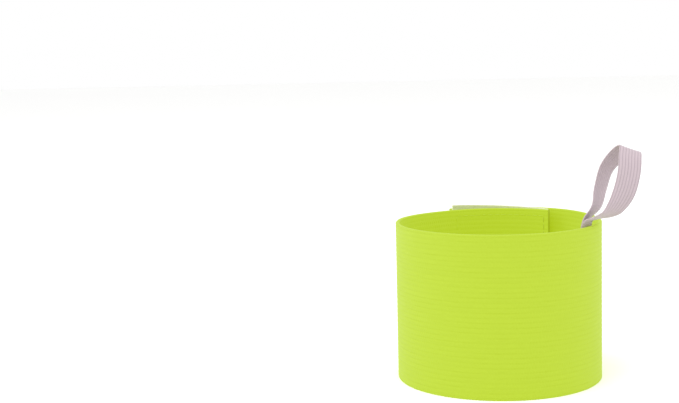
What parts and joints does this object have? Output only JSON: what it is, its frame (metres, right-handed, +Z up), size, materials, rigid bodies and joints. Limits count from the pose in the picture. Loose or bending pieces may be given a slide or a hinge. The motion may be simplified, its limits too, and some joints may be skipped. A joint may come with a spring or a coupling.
{
  "type": "sports wristband",
  "caption": "Wide ribbed webbing wristband closed into a ring by hook and loop tape, with a sewn pull loop.",
  "frame": {"origin": "lower edge of the band, mid-thickness, at the middle of its front", "axes": "+Z up along the band's width, towards the edge that the pull loop leaves over; -Y out of the front; +Y through the ring to the overlap at the back"},
  "size_m": [0.0754, 0.0675, 0.0743],
  "materials": {
    "webbing": "woven elastic webbing with fine ribs, neon yellow-green, matt",
    "loop_tape": "brushed loop pile, pale grey-green, matt",
    "hook_tape": "woven base with fine nylon hooks, pale grey-green",
    "pull_tape": "narrow ribbed elastic tape, pale lilac-grey, matt",
    "thread": "polyester sewing thread, darker than the webbing"
  },
  "bodies": {
    "front": {"band_front": "webbing"},
    "right_1": {"band_right_1": "webbing"},
    "right_2": {"band_right_2": "webbing"},
    "right_3": {"band_right_3": "webbing"},
    "right_4": {"band_right_4": "webbing"},
    "fold": {"flap_fold": "webbing"},
    "flap": {"end_flap": "webbing", "hook_pad": "hook_tape", "hook_pad_stitching": "thread"},
    "left_1": {"band_left_1": "webbing"},
    "left_2": {"band_left_2": "webbing"},
    "left_3": {"band_left_3": "webbing"},
    "left_4": {"band_left_4": "webbing", "loop_pad_1": "loop_tape", "loop_pad_stitching_1": "thread"},
    "left_5": {"band_left_5": "webbing", "loop_pad_2": "loop_tape", "loop_pad_stitching_2": "thread", "pull_tape_tail": "pull_tape", "pull_tape_bar_tack": "thread"},
    "tape_1": {"pull_tape_run_1": "pull_tape"},
    "tape_2": {"pull_tape_run_2": "pull_tape"},
    "loop": {"pull_tape_loop": "pull_tape"}
  },
  "joints": [
    {"name": "band_uncurl", "type": "hinge", "parent": "front", "child": "right_1", "pos_m": [0.01076, 0.00119, 0], "axis": [0, 0, -1], "range_deg": [0, 37.22]},
    {"name": "uncurl_right_2", "type": "hinge", "parent": "right_1", "child": "right_2", "pos_m": [0.02656, 0.01319, 0], "axis": [0, 0, -1], "range_deg": [0, 35.66]},
    {"name": "uncurl_right_3", "type": "hinge", "parent": "right_2", "child": "right_3", "pos_m": [0.0324, 0.03215, 0], "axis": [0, 0, -1], "range_deg": [0, 32.03]},
    {"name": "uncurl_right_4", "type": "hinge", "parent": "right_3", "child": "right_4", "pos_m": [0.02718, 0.05175, 0], "axis": [0, 0, -1], "range_deg": [0, 37.2]},
    {"name": "uncurl_fold", "type": "hinge", "parent": "right_4", "child": "fold", "pos_m": [0.01068, 0.06461, 0], "axis": [0, 0, -1], "range_deg": [0, 47.42]},
    {"name": "closure_peel", "type": "hinge", "parent": "fold", "child": "flap", "pos_m": [0.00481, 0.06596, 0], "axis": [0, 0, -1], "range_deg": [0, 140]},
    {"name": "uncurl_left_1", "type": "hinge", "parent": "front", "child": "left_1", "pos_m": [-0.01076, 0.00119, 0], "axis": [0, 0, 1], "range_deg": [0, 39.1]},
    {"name": "uncurl_left_2", "type": "hinge", "parent": "left_1", "child": "left_2", "pos_m": [-0.02771, 0.01496, 0], "axis": [0, 0, 1], "range_deg": [0, 39.39]},
    {"name": "uncurl_left_3", "type": "hinge", "parent": "left_2", "child": "left_3", "pos_m": [-0.03207, 0.03635, 0], "axis": [0, 0, 1], "range_deg": [0, 44.45]},
    {"name": "uncurl_left_4", "type": "hinge", "parent": "left_3", "child": "left_4", "pos_m": [-0.02053, 0.05418, 0], "axis": [0, 0, 1], "range_deg": [0, 32.78]},
    {"name": "uncurl_left_5", "type": "hinge", "parent": "left_4", "child": "left_5", "pos_m": [-0.00167, 0.0627, 0], "axis": [0, 0, 1], "range_deg": [0, 40.93]},
    {"name": "uncurl_tape_1", "type": "hinge", "parent": "left_5", "child": "tape_1", "pos_m": [0.01933, 0.05806, 0], "axis": [0, 0, 1], "range_deg": [0, 45.21]},
    {"name": "uncurl_tape_2", "type": "hinge", "parent": "tape_1", "child": "tape_2", "pos_m": [0.02975, 0.03862, 0], "axis": [0, 0, 1], "range_deg": [0, 35.52]},
    {"name": "pull_loop_swing", "type": "hinge", "parent": "tape_2", "child": "loop", "pos_m": [0.02599, 0.01822, 0.0473], "axis": [-0.3806, -0.7311, -0.5662], "range_deg": [0, 75]}
  ],
  "couplings": [
    {"joint": "uncurl_right_2", "follows": "band_uncurl", "ratio": 0.9578},
    {"joint": "uncurl_right_3", "follows": "band_uncurl", "ratio": 0.8604},
    {"joint": "uncurl_right_4", "follows": "band_uncurl", "ratio": 0.9991},
    {"joint": "uncurl_fold", "follows": "band_uncurl", "ratio": 1.2739},
    {"joint": "uncurl_left_1", "follows": "band_uncurl", "ratio": 1.0502},
    {"joint": "uncurl_left_2", "follows": "band_uncurl", "ratio": 1.058},
    {"joint": "uncurl_left_3", "follows": "band_uncurl", "ratio": 1.1941},
    {"joint": "uncurl_left_4", "follows": "band_uncurl", "ratio": 0.8805},
    {"joint": "uncurl_left_5", "follows": "band_uncurl", "ratio": 1.0995},
    {"joint": "uncurl_tape_1", "follows": "band_uncurl", "ratio": 1.2145},
    {"joint": "uncurl_tape_2", "follows": "band_uncurl", "ratio": 0.954}
  ]
}
